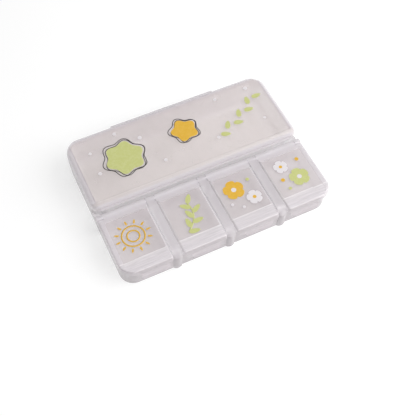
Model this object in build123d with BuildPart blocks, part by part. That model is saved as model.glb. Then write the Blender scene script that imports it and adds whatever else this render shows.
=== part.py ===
"""Five compartment pill organizer with hinged lids.

One moulded tray holds a long rear compartment and a row of small front cups. Every
compartment has a lid of its own. The front lids turn on one rod along the spine of the
tray, and the rear lid turns on a second rod behind the rear wall.

All sizes are in millimetres. +X runs along the case, +Y from the front lift tabs to the
rear hinge and +Z up. The origin is in the middle of the closed case, on the surface that
it stands on.
"""
from build123d import *
import os

# Outside of the closed case
CASE_LENGTH = 92.0
CASE_DEPTH = 68.0
REAR_HEIGHT = 15.8
FRONT_HEIGHT = 12.2
CORNER_RADIUS = 6.5

# Compartments
CUP_COUNT = 4
CUP_DEPTH = 23.8
POCKET_CORNER = 4.2
FLOOR_ROUND = 3.4

# Tray walls
FLOOR = 1.3
OUTER_WALL = 2.25
FRONT_WALL = 2.2
DIVIDER_WIDTH = 5.3
RIDGE_WIDTH = 3.6
NOSE_RADIUS = 4.5
CORE_SKIN = 1.2
BASE_ROUND = 1.2
SIDE_DRAFT = 3.0
STEP_CORNER = 3.4
PILASTER_RADIUS = 2.9
PILASTER_REACH = 0.9

# Lids
LID_PANEL = 1.2
LID_SKIRT = 1.0
LID_CORNER = 1.2
LEAST_CORNER = 0.3
REAR_LID_DEPTH = 3.6
REAR_LID_ROUND = 2.4
FRONT_LID_DEPTH = 2.5
FRONT_LID_ROUND = 0.8
FRONT_RAIL = 5.8
REAR_RAIL = 1.8
WINDOW_RECESS = 0.4
WINDOW_CORNER = 0.8

# Flaps, tabs and lips that a finger lifts
LID_FRONT_SETBACK = 0.65
FLAP_DROP = 4.8
FLAP_CORNER = 1.4
TAB_WIDTH = 12.0
TAB_REACH = 1.0
TAB_HEIGHT = 2.0
TAB_EDGE = 0.6
TAB_ROUND = 0.5
LIP_REACH = 0.4
LIP_HEIGHT = 0.9
LIP_ROUND = 0.15
LATCH_LENGTH = 8.0
LATCH_RADIUS = 0.7
LATCH_REACH = 0.12
LATCH_RISE = 1.2

# Hinges
BARREL_RADIUS = 1.5
ROD_RADIUS = 0.7
ROD_INSET = 0.4
ROD_CHAMFER = 0.2
END_LUG = 2.4
REAR_HINGE_LENGTH = 48.0
REAR_KNUCKLES = 5
REAR_AXIS_OUT = 0.8
REAR_AXIS_DROP = 0.6
LUG_GUSSET = 2.8
SPINE_GAP = 0.8

# Clearances
FIT_GAP = 0.25
SEAT_GAP = 0.1
HINGE_GAP = 0.3
END_GAP = 0.3
BORE_GAP = 0.06
PRESS_GAP = 0.02
RIM_GAP = 0.4

# Stations along X
LEFT = -CASE_LENGTH / 2
RIGHT = CASE_LENGTH / 2
CUP_PITCH = CASE_LENGTH / CUP_COUNT
LID_GAP = RIDGE_WIDTH + 2 * FIT_GAP
HINGE_LEFT = -REAR_HINGE_LENGTH / 2
HINGE_RIGHT = REAR_HINGE_LENGTH / 2
KNUCKLE_PITCH = REAR_HINGE_LENGTH / REAR_KNUCKLES

# Stations along Y, from the front to the rear, with the closed case centred on the origin
TAB_OVERHANG = TAB_REACH - LID_FRONT_SETBACK
BARREL_OVERHANG = REAR_AXIS_OUT + BARREL_RADIUS
FRONT = (TAB_OVERHANG - CASE_DEPTH - BARREL_OVERHANG) / 2
REAR = FRONT + CASE_DEPTH
LID_FRONT = FRONT + LID_FRONT_SETBACK
WINDOW_FRONT = LID_FRONT + FRONT_RAIL
TRAY_FRONT = LID_FRONT + LID_SKIRT + FIT_GAP
NOSE_FRONT = TRAY_FRONT - PILASTER_REACH
CUP_FRONT = TRAY_FRONT + FRONT_WALL
CUP_REAR = CUP_FRONT + CUP_DEPTH
WINDOW_REAR = CUP_REAR - REAR_RAIL
SPINE_AXIS = CUP_REAR + HINGE_GAP + BARREL_RADIUS
STEP_FACE = SPINE_AXIS + BARREL_RADIUS + SPINE_GAP
BIN_FRONT = STEP_FACE + OUTER_WALL
BIN_REAR = REAR - OUTER_WALL
REAR_AXIS = REAR + REAR_AXIS_OUT

# Levels along Z
FRONT_SHOULDER = FRONT_HEIGHT - FRONT_LID_DEPTH
FRONT_RIM = FRONT_HEIGHT - LID_PANEL - RIM_GAP
FLAP_FOOT = FRONT_HEIGHT - FLAP_DROP
SPINE_AXIS_LEVEL = FRONT_HEIGHT - BARREL_RADIUS
REAR_SHOULDER = REAR_HEIGHT - REAR_LID_DEPTH
REAR_RIM = REAR_HEIGHT - LID_PANEL - RIM_GAP
REAR_AXIS_LEVEL = REAR_SHOULDER - REAR_AXIS_DROP
SWING_RADIUS = BARREL_RADIUS + HINGE_GAP


def cup_span(number, end_inset, divider_inset):
    """Gives the left and right ends of a cup's piece, set in from the case or a divider."""
    first = number == 0
    last = number == CUP_COUNT - 1
    left = LEFT + number * CUP_PITCH + (end_inset if first else divider_inset)
    right = LEFT + (number + 1) * CUP_PITCH - (end_inset if last else divider_inset)
    return left, right


def divider_places():
    """Gives the X of the middle of each divider."""
    return [LEFT + number * CUP_PITCH for number in range(1, CUP_COUNT)]


def barrel_span(number):
    """Gives the ends of a front lid's hinge barrel, between two lugs of the tray."""
    return cup_span(number, END_LUG + END_GAP, RIDGE_WIDTH / 2 + END_GAP)


def flap_span(number):
    """Gives the ends of a front lid's flap and of the rail above it."""
    return cup_span(number, CORNER_RADIUS, DIVIDER_WIDTH / 2 + FIT_GAP)


def rear_knuckle_span(number):
    """Gives the ends of one of the rear hinge's knuckles, counted from the left."""
    left = HINGE_LEFT + number * KNUCKLE_PITCH
    return left + END_GAP / 2, left + KNUCKLE_PITCH - END_GAP / 2


def plate(left, right, front, rear):
    """Draws a rectangle between four lines in the open sketch."""
    with Locations(((left + right) / 2, (front + rear) / 2)):
        Rectangle(right - left, rear - front)


def corners_at(sketch, x_place, y_place):
    """Picks the corner of a sketch at a place."""
    corner = Vector(x_place, y_place)
    return sketch.vertices().sort_by_distance(corner)[:1]


def lid_outline(sketch, number, inset, rear):
    """Draws a front lid's outline, or one set in from it, in the open sketch."""
    left, right = cup_span(number, inset, LID_GAP / 2 + inset)
    front = LID_FRONT + inset
    plate(left, right, front, rear)
    first = number == 0
    last = number == CUP_COUNT - 1
    left_radius = (CORNER_RADIUS if first else LID_CORNER) - inset
    right_radius = (CORNER_RADIUS if last else LID_CORNER) - inset
    fillet(corners_at(sketch, left, front), max(left_radius, LEAST_CORNER))
    fillet(corners_at(sketch, right, front), max(right_radius, LEAST_CORNER))


def rear_outline(sketch, inset):
    """Draws the rear lid's outline, or one set in from it, in the open sketch."""
    left = LEFT + inset
    right = RIGHT - inset
    plate(left, right, STEP_FACE + inset, REAR - inset)
    for side in (left, right):
        fillet(corners_at(sketch, side, STEP_FACE + inset), STEP_CORNER - inset)
        fillet(corners_at(sketch, side, REAR - inset), CORNER_RADIUS - inset)


def bar(left, right, y_place, level, radius, mode=Mode.ADD):
    """Makes a round bar along X in the open part."""
    with Locations(((left + right) / 2, y_place, level)):
        Cylinder(radius, right - left, rotation=(0, 90, 0), mode=mode)


def block(left, right, front, rear, bottom, top, mode=Mode.ADD):
    """Makes a block between six faces in the open part."""
    with Locations(((left + right) / 2, (front + rear) / 2, (bottom + top) / 2)):
        Box(right - left, rear - front, top - bottom, mode=mode)


# Hollow of the rear compartment, rounded where its walls meet and along its floor
with BuildPart() as bin_hollow:
    with BuildSketch(Plane.XY.offset(FLOOR)) as bin_plan:
        plate(LEFT + OUTER_WALL, RIGHT - OUTER_WALL, BIN_FRONT, BIN_REAR)
        fillet(bin_plan.vertices(), POCKET_CORNER)
    extrude(amount=REAR_HEIGHT - FLOOR)
    fillet(bin_hollow.faces().sort_by(Axis.Z)[0].edges(), FLOOR_ROUND)

# Hollows of the front cups
cup_hollows = []
for cup in range(CUP_COUNT):
    cup_left, cup_right = cup_span(cup, OUTER_WALL, DIVIDER_WIDTH / 2)
    with BuildPart() as cup_hollow:
        with BuildSketch(Plane.XY.offset(FLOOR)) as cup_plan:
            plate(cup_left, cup_right, CUP_FRONT, CUP_REAR)
            fillet(cup_plan.vertices(), POCKET_CORNER)
        extrude(amount=FRONT_HEIGHT - FLOOR)
        fillet(cup_hollow.faces().sort_by(Axis.Z)[0].edges(), FLOOR_ROUND)
    cup_hollows.append(cup_hollow.part)

# Ridge that stands on a divider between two lids, with its rounded foot and nose in front
with BuildPart() as ridge:
    with BuildSketch(Plane.XY.offset(FRONT_SHOULDER)):
        with Locations((0, NOSE_FRONT + PILASTER_RADIUS)):
            Circle(PILASTER_RADIUS)
    extrude(amount=-FRONT_SHOULDER, taper=SIDE_DRAFT)
    fillet(ridge.faces().sort_by(Axis.Z)[0].edges(), BASE_ROUND)
    with BuildSketch(Plane.XY.offset(FRONT_SHOULDER)):
        plate(-RIDGE_WIDTH / 2, RIDGE_WIDTH / 2, NOSE_FRONT + RIDGE_WIDTH / 2, SPINE_AXIS)
        with Locations((0, NOSE_FRONT + RIDGE_WIDTH / 2)):
            Circle(RIDGE_WIDTH / 2)
    extrude(amount=FRONT_HEIGHT - FRONT_SHOULDER)
    nose_foot = (NOSE_FRONT, FRONT_HEIGHT - NOSE_RADIUS)
    nose_top = (NOSE_FRONT + NOSE_RADIUS, FRONT_HEIGHT)
    with BuildSketch(Plane.YZ.offset(-PILASTER_RADIUS)):
        with BuildLine():
            RadiusArc(nose_foot, nose_top, NOSE_RADIUS)
            Polyline(nose_top, (NOSE_FRONT, FRONT_HEIGHT), nose_foot)
        make_face()
    extrude(amount=2 * PILASTER_RADIUS, mode=Mode.SUBTRACT)

# Tray with its compartments, spine, hinge lugs and hollow ribs
with BuildPart() as base_tray:
    with BuildSketch(Plane.XY.offset(FRONT_SHOULDER)) as tray_plan:
        plate(LEFT, RIGHT, TRAY_FRONT, REAR)
        fillet(tray_plan.vertices(), CORNER_RADIUS)
    extrude(amount=-FRONT_SHOULDER, taper=SIDE_DRAFT)
    fillet(base_tray.faces().sort_by(Axis.Z)[0].edges(), BASE_ROUND)
    with Locations([(place, 0) for place in divider_places()]):
        add(ridge.part)

    # Rear part, a step higher, with the rim that stands inside the rear lid and its bead
    with BuildSketch(Plane.XY.offset(FRONT_SHOULDER)) as step_plan:
        rear_outline(step_plan, 0)
    extrude(amount=REAR_SHOULDER - FRONT_SHOULDER)
    with BuildSketch(Plane.XY.offset(REAR_SHOULDER)) as rim_plan:
        rear_outline(rim_plan, LID_SKIRT + FIT_GAP)
    extrude(amount=REAR_RIM - REAR_SHOULDER)
    rim_front = STEP_FACE + LID_SKIRT + FIT_GAP
    bar(-LATCH_LENGTH / 2, LATCH_LENGTH / 2, rim_front + LATCH_RADIUS - LATCH_REACH, REAR_SHOULDER + LATCH_RISE,
        LATCH_RADIUS)

    # Rims of the cups inside the front lids, with a small bead that each flap clicks over
    for cup in range(CUP_COUNT):
        with BuildSketch(Plane.XY.offset(FRONT_SHOULDER)) as cup_rim_plan:
            lid_outline(cup_rim_plan, cup, LID_SKIRT + FIT_GAP, CUP_REAR)
        extrude(amount=FRONT_RIM - FRONT_SHOULDER)
        flap_left, flap_right = flap_span(cup)
        latch_left = (flap_left + flap_right - LATCH_LENGTH) / 2
        bar(latch_left, latch_left + LATCH_LENGTH, TRAY_FRONT + LATCH_RADIUS - LATCH_REACH,
            FLAP_FOOT + LATCH_RISE, LATCH_RADIUS)

    # Lugs on the spine that hold the front rod
    lug_spans = [(LEFT, LEFT + END_LUG), (RIGHT - END_LUG, RIGHT)]
    lug_spans += [(place - RIDGE_WIDTH / 2, place + RIDGE_WIDTH / 2) for place in divider_places()]
    for lug_left, lug_right in lug_spans:
        bar(lug_left, lug_right, SPINE_AXIS, SPINE_AXIS_LEVEL, BARREL_RADIUS)
        block(lug_left, lug_right, SPINE_AXIS - BARREL_RADIUS, SPINE_AXIS + BARREL_RADIUS,
              FRONT_SHOULDER - HINGE_GAP, SPINE_AXIS_LEVEL)

    # Lugs behind the rear wall that hold the rear rod
    for knuckle in range(0, REAR_KNUCKLES, 2):
        lug_left, lug_right = rear_knuckle_span(knuckle)
        bar(lug_left, lug_right, REAR_AXIS, REAR_AXIS_LEVEL, BARREL_RADIUS)
        gusset_root = REAR - OUTER_WALL / 2
        gusset_foot = REAR_AXIS_LEVEL - LUG_GUSSET
        with BuildSketch(Plane.YZ.offset(lug_left)):
            with BuildLine():
                Polyline((gusset_root, REAR_SHOULDER), (gusset_root, gusset_foot), (REAR, gusset_foot),
                         (REAR_AXIS, REAR_AXIS_LEVEL - BARREL_RADIUS), (REAR_AXIS, REAR_SHOULDER), close=True)
            make_face()
        extrude(amount=lug_right - lug_left)

    # Room for the lids' own barrels to turn
    for cup in range(CUP_COUNT):
        barrel_left, barrel_right = barrel_span(cup)
        bar(barrel_left - END_GAP, barrel_right + END_GAP, SPINE_AXIS, SPINE_AXIS_LEVEL, SWING_RADIUS,
            Mode.SUBTRACT)
    for knuckle in range(1, REAR_KNUCKLES, 2):
        knuckle_left, knuckle_right = rear_knuckle_span(knuckle)
        bar(knuckle_left - END_GAP, knuckle_right + END_GAP, REAR_AXIS, REAR_AXIS_LEVEL, SWING_RADIUS,
            Mode.SUBTRACT)

    # Compartments
    add(bin_hollow.part, mode=Mode.SUBTRACT)
    for hollow in cup_hollows:
        add(hollow, mode=Mode.SUBTRACT)

    # Spine and dividers are hollow from below
    core_front = CUP_REAR + CORE_SKIN
    spine_core_top = SPINE_AXIS_LEVEL - SWING_RADIUS - CORE_SKIN
    block(LEFT + OUTER_WALL, RIGHT - OUTER_WALL, core_front, BIN_FRONT - CORE_SKIN, 0, spine_core_top,
          Mode.SUBTRACT)
    for place in divider_places():
        core_half = DIVIDER_WIDTH / 2 - CORE_SKIN
        block(place - core_half, place + core_half, CUP_FRONT, core_front + CORE_SKIN, 0, spine_core_top,
              Mode.SUBTRACT)

    # Bores for the two rods
    bar(LEFT, RIGHT, SPINE_AXIS, SPINE_AXIS_LEVEL, ROD_RADIUS + PRESS_GAP, Mode.SUBTRACT)
    bar(HINGE_LEFT, HINGE_RIGHT, REAR_AXIS, REAR_AXIS_LEVEL, ROD_RADIUS + PRESS_GAP, Mode.SUBTRACT)


def make_front_lid(number):
    """Makes one front lid: panel, skirts, window, flap with its lift tab, and hinge barrel."""
    bottom = FRONT_SHOULDER + SEAT_GAP
    under_panel = FRONT_HEIGHT - LID_PANEL
    barrel_left, barrel_right = barrel_span(number)
    flap_left, flap_right = flap_span(number)
    window_left, window_right = cup_span(number, OUTER_WALL, DIVIDER_WIDTH / 2 + FIT_GAP)
    tab_left = (flap_left + flap_right - TAB_WIDTH) / 2
    with BuildPart() as front_lid:
        with BuildSketch(Plane.XY.offset(bottom)) as lid_plan:
            lid_outline(lid_plan, number, 0, CUP_REAR)
        extrude(amount=FRONT_HEIGHT - bottom)
        top_edges = front_lid.faces().sort_by(Axis.Z)[-1].edges().sort_by(Axis.Y)[:-1]
        fillet(top_edges, FRONT_LID_ROUND)

        # Hollow under the panel, open to the barrel
        with BuildSketch(Plane.XY.offset(bottom)) as hollow_plan:
            lid_outline(hollow_plan, number, LID_SKIRT, CUP_REAR)
        extrude(amount=under_panel - bottom, mode=Mode.SUBTRACT)

        # Sunk window over the cup, behind the front rail and beside its free end
        with BuildSketch(Plane.XY.offset(FRONT_HEIGHT)) as window_plan:
            plate(window_left, window_right, WINDOW_FRONT, WINDOW_REAR)
            if flap_left > window_left:
                plate(window_left, flap_left, CUP_FRONT, WINDOW_REAR)
            if flap_right < window_right:
                plate(flap_right, window_right, CUP_FRONT, WINDOW_REAR)
            fillet(window_plan.vertices(), WINDOW_CORNER)
        extrude(amount=-WINDOW_RECESS, mode=Mode.SUBTRACT)

        # Flap in front of the tray's wall
        with BuildSketch(Plane.XZ.offset(-LID_FRONT)) as flap_face:
            plate(flap_left, flap_right, FLAP_FOOT, FRONT_HEIGHT - FRONT_LID_ROUND)
            fillet(flap_face.vertices().group_by(Axis.Z)[0], FLAP_CORNER)
        extrude(amount=-LID_SKIRT)

        # Lift tab along the foot of the flap
        with BuildSketch(Plane.YZ.offset(tab_left)) as tab_section:
            with BuildLine():
                Polyline((LID_FRONT + LID_SKIRT / 2, FLAP_FOOT), (LID_FRONT - TAB_REACH, FLAP_FOOT),
                         (LID_FRONT - TAB_REACH, FLAP_FOOT + TAB_EDGE), (LID_FRONT, FLAP_FOOT + TAB_HEIGHT),
                         (LID_FRONT + LID_SKIRT / 2, FLAP_FOOT + TAB_HEIGHT), close=True)
            make_face()
        extrude(amount=TAB_WIDTH)
        tab_ends = front_lid.faces().sort_by(Axis.Y)[0].edges().filter_by(Axis.Z)
        fillet(tab_ends, TAB_ROUND)

        # Barrel on the hinge line
        block(barrel_left, barrel_right, CUP_REAR - LID_SKIRT, SPINE_AXIS, under_panel, FRONT_HEIGHT)
        bar(barrel_left, barrel_right, SPINE_AXIS, SPINE_AXIS_LEVEL, BARREL_RADIUS)
        bar(barrel_left, barrel_right, SPINE_AXIS, SPINE_AXIS_LEVEL, ROD_RADIUS + BORE_GAP, Mode.SUBTRACT)
    return front_lid.part


# Rear lid with its lift lip in front and its two hinge knuckles behind
with BuildPart() as rear_lid:
    lid_foot = REAR_SHOULDER + SEAT_GAP
    with BuildSketch(Plane.XY.offset(lid_foot)) as rear_lid_plan:
        rear_outline(rear_lid_plan, 0)
    extrude(amount=REAR_HEIGHT - lid_foot)
    fillet(rear_lid.faces().sort_by(Axis.Z)[-1].edges(), REAR_LID_ROUND)
    block(LEFT + STEP_CORNER, RIGHT - STEP_CORNER, STEP_FACE - LIP_REACH, STEP_FACE + LID_SKIRT,
          lid_foot, lid_foot + LIP_HEIGHT)
    fillet(rear_lid.faces().sort_by(Axis.Y)[0].edges().filter_by(Axis.X), LIP_ROUND)
    for knuckle in range(1, REAR_KNUCKLES, 2):
        knuckle_left, knuckle_right = rear_knuckle_span(knuckle)
        bar(knuckle_left, knuckle_right, REAR_AXIS, REAR_AXIS_LEVEL, BARREL_RADIUS)
        block(knuckle_left, knuckle_right, REAR - LID_SKIRT / 2, REAR_AXIS, lid_foot,
              REAR_AXIS_LEVEL + BARREL_RADIUS)
    for knuckle in range(0, REAR_KNUCKLES, 2):
        lug_left, lug_right = rear_knuckle_span(knuckle)
        bar(lug_left - END_GAP, lug_right + END_GAP, REAR_AXIS, REAR_AXIS_LEVEL, SWING_RADIUS, Mode.SUBTRACT)
    with BuildSketch(Plane.XY.offset(lid_foot)) as rear_hollow_plan:
        rear_outline(rear_hollow_plan, LID_SKIRT)
    extrude(amount=REAR_HEIGHT - LID_PANEL - lid_foot, mode=Mode.SUBTRACT)
    bar(HINGE_LEFT, HINGE_RIGHT, REAR_AXIS, REAR_AXIS_LEVEL, ROD_RADIUS + BORE_GAP, Mode.SUBTRACT)

# Rod through the lugs and the barrels of the front lids
with BuildPart() as front_hinge_rod:
    bar(LEFT + ROD_INSET, RIGHT - ROD_INSET, SPINE_AXIS, SPINE_AXIS_LEVEL, ROD_RADIUS)
    chamfer(front_hinge_rod.edges().filter_by(GeomType.CIRCLE), ROD_CHAMFER)

# Rod through the knuckles of the rear lid
with BuildPart() as rear_hinge_rod:
    bar(HINGE_LEFT + ROD_INSET, HINGE_RIGHT - ROD_INSET, REAR_AXIS, REAR_AXIS_LEVEL, ROD_RADIUS)
    chamfer(rear_hinge_rod.edges().filter_by(GeomType.CIRCLE), ROD_CHAMFER)

pieces = {
    "base_tray": base_tray.part,
    "rear_lid": rear_lid.part,
    "front_hinge_rod": front_hinge_rod.part,
    "rear_hinge_rod": rear_hinge_rod.part,
}
for cup in range(CUP_COUNT):
    pieces[f"front_lid_{cup + 1}"] = make_front_lid(cup)

os.makedirs("parts", exist_ok=True)
for name, piece in pieces.items():
    piece.label = name
    export_step(piece, f"parts/{name}.step")
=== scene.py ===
"""Looks of a pocket pill organizer of milky see-through plastic with printed lids.

The solids give the shape. This script gives them a frosted plastic, prints simple motifs on
the lids, and sets up the floor, the light and the camera.
"""
import logging
import math
from dataclasses import dataclass, field, replace
from enum import Enum
from typing import Any, Callable, Optional, Union

import bmesh
import bpy
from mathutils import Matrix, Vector


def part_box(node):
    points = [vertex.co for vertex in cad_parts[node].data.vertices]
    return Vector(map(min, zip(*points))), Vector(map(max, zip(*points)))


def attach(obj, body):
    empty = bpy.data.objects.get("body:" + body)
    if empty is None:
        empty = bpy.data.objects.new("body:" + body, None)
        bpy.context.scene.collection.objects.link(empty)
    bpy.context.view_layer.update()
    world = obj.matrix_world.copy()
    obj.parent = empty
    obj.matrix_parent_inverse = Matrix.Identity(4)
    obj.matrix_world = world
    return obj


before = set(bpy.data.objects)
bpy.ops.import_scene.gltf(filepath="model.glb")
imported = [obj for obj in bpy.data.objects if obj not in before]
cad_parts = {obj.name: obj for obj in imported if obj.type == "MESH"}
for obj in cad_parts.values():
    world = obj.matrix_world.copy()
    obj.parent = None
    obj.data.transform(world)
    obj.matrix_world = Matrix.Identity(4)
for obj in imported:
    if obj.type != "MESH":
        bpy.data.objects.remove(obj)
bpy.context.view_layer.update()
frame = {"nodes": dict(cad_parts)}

LOG = logging.getLogger("pill_organizer")
MM = 0.001
HALF_LENGTH = 46 * MM
HALF_DEPTH = 35 * MM
SENSOR = 36.0

Colour = tuple[float, float, float, float]
Spot = tuple[float, float]
Settings = Optional[dict[str, Any]]
Key = Union[str, int]
Sockets = Optional[dict[Key, Any]]


def linear(code: str) -> Colour:
    """Turn a colour code into linear light.

    Args:
        code: six hexadecimal digits, two for each of red, green and blue.

    Returns:
        The colour with an alpha of one.
    """
    channels = [int(code[place : place + 2], 16) / 255 for place in (0, 2, 4)]
    light = [c / 12.92 if c <= 0.04045 else ((c + 0.055) / 1.055) ** 2.4 for c in channels]
    return (light[0], light[1], light[2], 1.0)


def math_method(operation: str, swapped: bool = False) -> Callable[..., "Wire"]:
    """Make a method of Wire that adds one Math node.

    Args:
        operation: what the node works out.
        swapped: whether the wire comes second.

    Returns:
        The method.
    """

    def method(wire: "Wire", other: "Term" = 0.0) -> "Wire":
        """Add the node and return its result."""
        first, second = (other, wire) if swapped else (wire, other)
        return wire.bench.wire("ShaderNodeMath", {"operation": operation}, {0: first, 1: second})

    return method


class Wire:
    """A number socket of a node tree that takes part in Python arithmetic."""

    __add__ = math_method("ADD")
    __radd__ = math_method("ADD", swapped=True)
    __sub__ = math_method("SUBTRACT")
    __rsub__ = math_method("SUBTRACT", swapped=True)
    __mul__ = math_method("MULTIPLY")
    __truediv__ = math_method("DIVIDE")
    __pow__ = math_method("POWER")
    __mod__ = math_method("MODULO")
    most = math_method("MAXIMUM")
    least = math_method("MINIMUM")
    size = math_method("ABSOLUTE")
    atan2 = math_method("ARCTAN2")

    def __init__(self, bench: "Bench", socket: bpy.types.NodeSocket) -> None:
        """Keep the socket and the bench that it belongs to."""
        self.bench = bench
        self.socket = socket

    def share(self) -> "Wire":
        """Hold the value between 0 and 1."""
        return self.most(0.0).least(1.0)

    def peak(self, middle: float, reach: float) -> "Wire":
        """Return 1 where the value is at the middle, falling to 0 at a reach on either side."""
        return (1.0 - (self - middle).size() / reach).most(0.0)


Term = Union[Wire, float]


class Bench:
    """Builds one node tree: adds nodes, sets them and wires their sockets."""

    def __init__(self, tree: bpy.types.NodeTree) -> None:
        """Take over a tree and empty it."""
        self.tree = tree
        tree.nodes.clear()

    def plug(self, socket: bpy.types.NodeSocket, value: Any) -> None:
        """Link a socket or set its value.

        Args:
            socket: the input to fill.
            value: a wire or another socket to link, or a plain value.
        """
        if isinstance(value, Wire):
            self.tree.links.new(value.socket, socket)
        elif isinstance(value, bpy.types.NodeSocket):
            self.tree.links.new(value, socket)
        else:
            socket.default_value = value

    def node(self, kind: str, settings: Settings = None, sockets: Sockets = None) -> bpy.types.Node:
        """Add one node.

        Args:
            kind: the node's type.
            settings: properties that are set first.
            sockets: values or links of its inputs, by name or number.

        Returns:
            The new node.
        """
        made = self.tree.nodes.new(kind)
        for name, value in (settings or {}).items():
            setattr(made, name, value)
        for key, value in (sockets or {}).items():
            self.plug(made.inputs[key], value)
        return made

    def wire(
        self, kind: str, settings: Settings = None, sockets: Sockets = None, output: Key = 0
    ) -> Wire:
        """Add one node and return one of its outputs as a wire."""
        return Wire(self, self.node(kind, settings, sockets).outputs[output])

    def split(self, vector: Any) -> tuple[Wire, ...]:
        """Return the X, Y and Z of a vector."""
        parts = self.node("ShaderNodeSeparateXYZ", None, {0: vector})
        return tuple(Wire(self, output) for output in parts.outputs)

    def vector(self, x: Term, y: Term, z: Term) -> Wire:
        """Join X, Y and Z into a vector."""
        return self.wire("ShaderNodeCombineXYZ", None, {0: x, 1: y, 2: z})

    def rays(self, *kinds: str) -> Wire:
        """Return 1 for light rays of any of these kinds.

        Args:
            kinds: names of the kinds.

        Returns:
            1 for these rays and 0 for all others.
        """
        path = self.node("ShaderNodeLightPath")
        found = [Wire(self, path.outputs[f"Is {kind} Ray"]) for kind in kinds]
        together = found[0]
        for one in found[1:]:
            together = together.most(one)
        return together

    def blend(self, share: Term, first: Any, second: Any) -> Wire:
        """Mix two colours.

        Args:
            share: how much of the second colour shows.
            first: the colour or wire shown at 0.
            second: the colour or wire shown at 1.

        Returns:
            The mixed colour.
        """
        return self.wire("ShaderNodeMix", {"data_type": "RGBA"}, {0: share, 6: first, 7: second}, 2)

    def noise(self, place: Wire, size: float, detail: float = 2.0, roughness: float = 0.5) -> Wire:
        """Return soft noise from 0 to 1.

        Args:
            place: the coordinates.
            size: the size of one cloud in metres.
            detail: how many finer layers are added.
            roughness: how strong the finer layers are.

        Returns:
            The noise value.
        """
        sockets = {"Vector": place, "Scale": 1 / size, "Detail": detail, "Roughness": roughness}
        return self.wire("ShaderNodeTexNoise", None, sockets, "Fac")

    def bump(self, strength: float, distance: float, height: Wire) -> Wire:
        """Return a surface direction that follows small heights."""
        sockets = {"Strength": strength, "Distance": distance, "Height": height}
        return self.wire("ShaderNodeBump", None, sockets)

    def show(self, shader: bpy.types.Node) -> None:
        """Make a shader the surface of the material."""
        self.node("ShaderNodeOutputMaterial", None, {"Surface": shader.outputs[0]})


def stand(name: str, data: bpy.types.ID) -> bpy.types.Object:
    """Put an object with this data into the scene.

    Args:
        name: its name.
        data: its mesh, curve, lamp or camera.

    Returns:
        The object.
    """
    made = bpy.data.objects.new(name, data)
    bpy.context.scene.collection.objects.link(made)
    return made


def new_material(name: str) -> tuple[bpy.types.Material, Bench]:
    """Make an empty material and the bench for its nodes.

    Args:
        name: its name.

    Returns:
        The material and its bench.
    """
    material = bpy.data.materials.new(name)
    material.use_nodes = True
    return material, Bench(material.node_tree)


@dataclass(frozen=True)
class SurfacePoint:
    """Wires that tell where a point of a surface lies and which way its face looks.

    Attributes:
        place: its coordinates on the piece.
        width: its X.
        depth: its Y.
        height: its Z.
        sideways: how far its face looks along X.
        frontal: how far its face looks along Y.
        facing: how far its face looks up.
    """

    place: Wire
    width: Wire
    depth: Wire
    height: Wire
    sideways: Wire
    frontal: Wire
    facing: Wire

    @classmethod
    def read(cls, bench: Bench) -> "SurfacePoint":
        """Add the nodes that read the point.

        Args:
            bench: where they are added.

        Returns:
            The point.
        """
        coordinates = bench.node("ShaderNodeTexCoord")
        place = Wire(bench, coordinates.outputs["Object"])
        return cls(place, *bench.split(place), *bench.split(coordinates.outputs["Normal"]))


@dataclass(frozen=True)
class MouldingZones:
    """Wires, from 0 to 1, that tell which zone of a moulding a point lies in.

    Attributes:
        flat: level faces that look up.
        thin: those of them that are a thin panel.
        rim: rounded edges and thick ledges.
        downward: faces that look down.
        outer: the outside of upright walls.
        railed: the thick front rail with its flap.
        framed: where a lid lies over the walls of the tray.
        frame_lined: the thin darker line painted along the inside of that frame.
        gap: faces in the narrow gaps around the front lids, painted with the light that falls there.
        lines: the thin highlight lines painted on edges, one by one.
        milk: noise of the faint clouds.
        sheen_streak: noise of the streaks along the rail: painted sheen in its colour, uneven cover in how
            solid it is.
    """

    flat: Wire
    thin: Wire
    rim: Wire
    downward: Wire
    outer: Wire
    railed: Wire
    framed: Wire
    frame_lined: Wire
    gap: Wire
    lines: tuple[Wire, ...]
    milk: Wire
    sheen_streak: Wire


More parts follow.
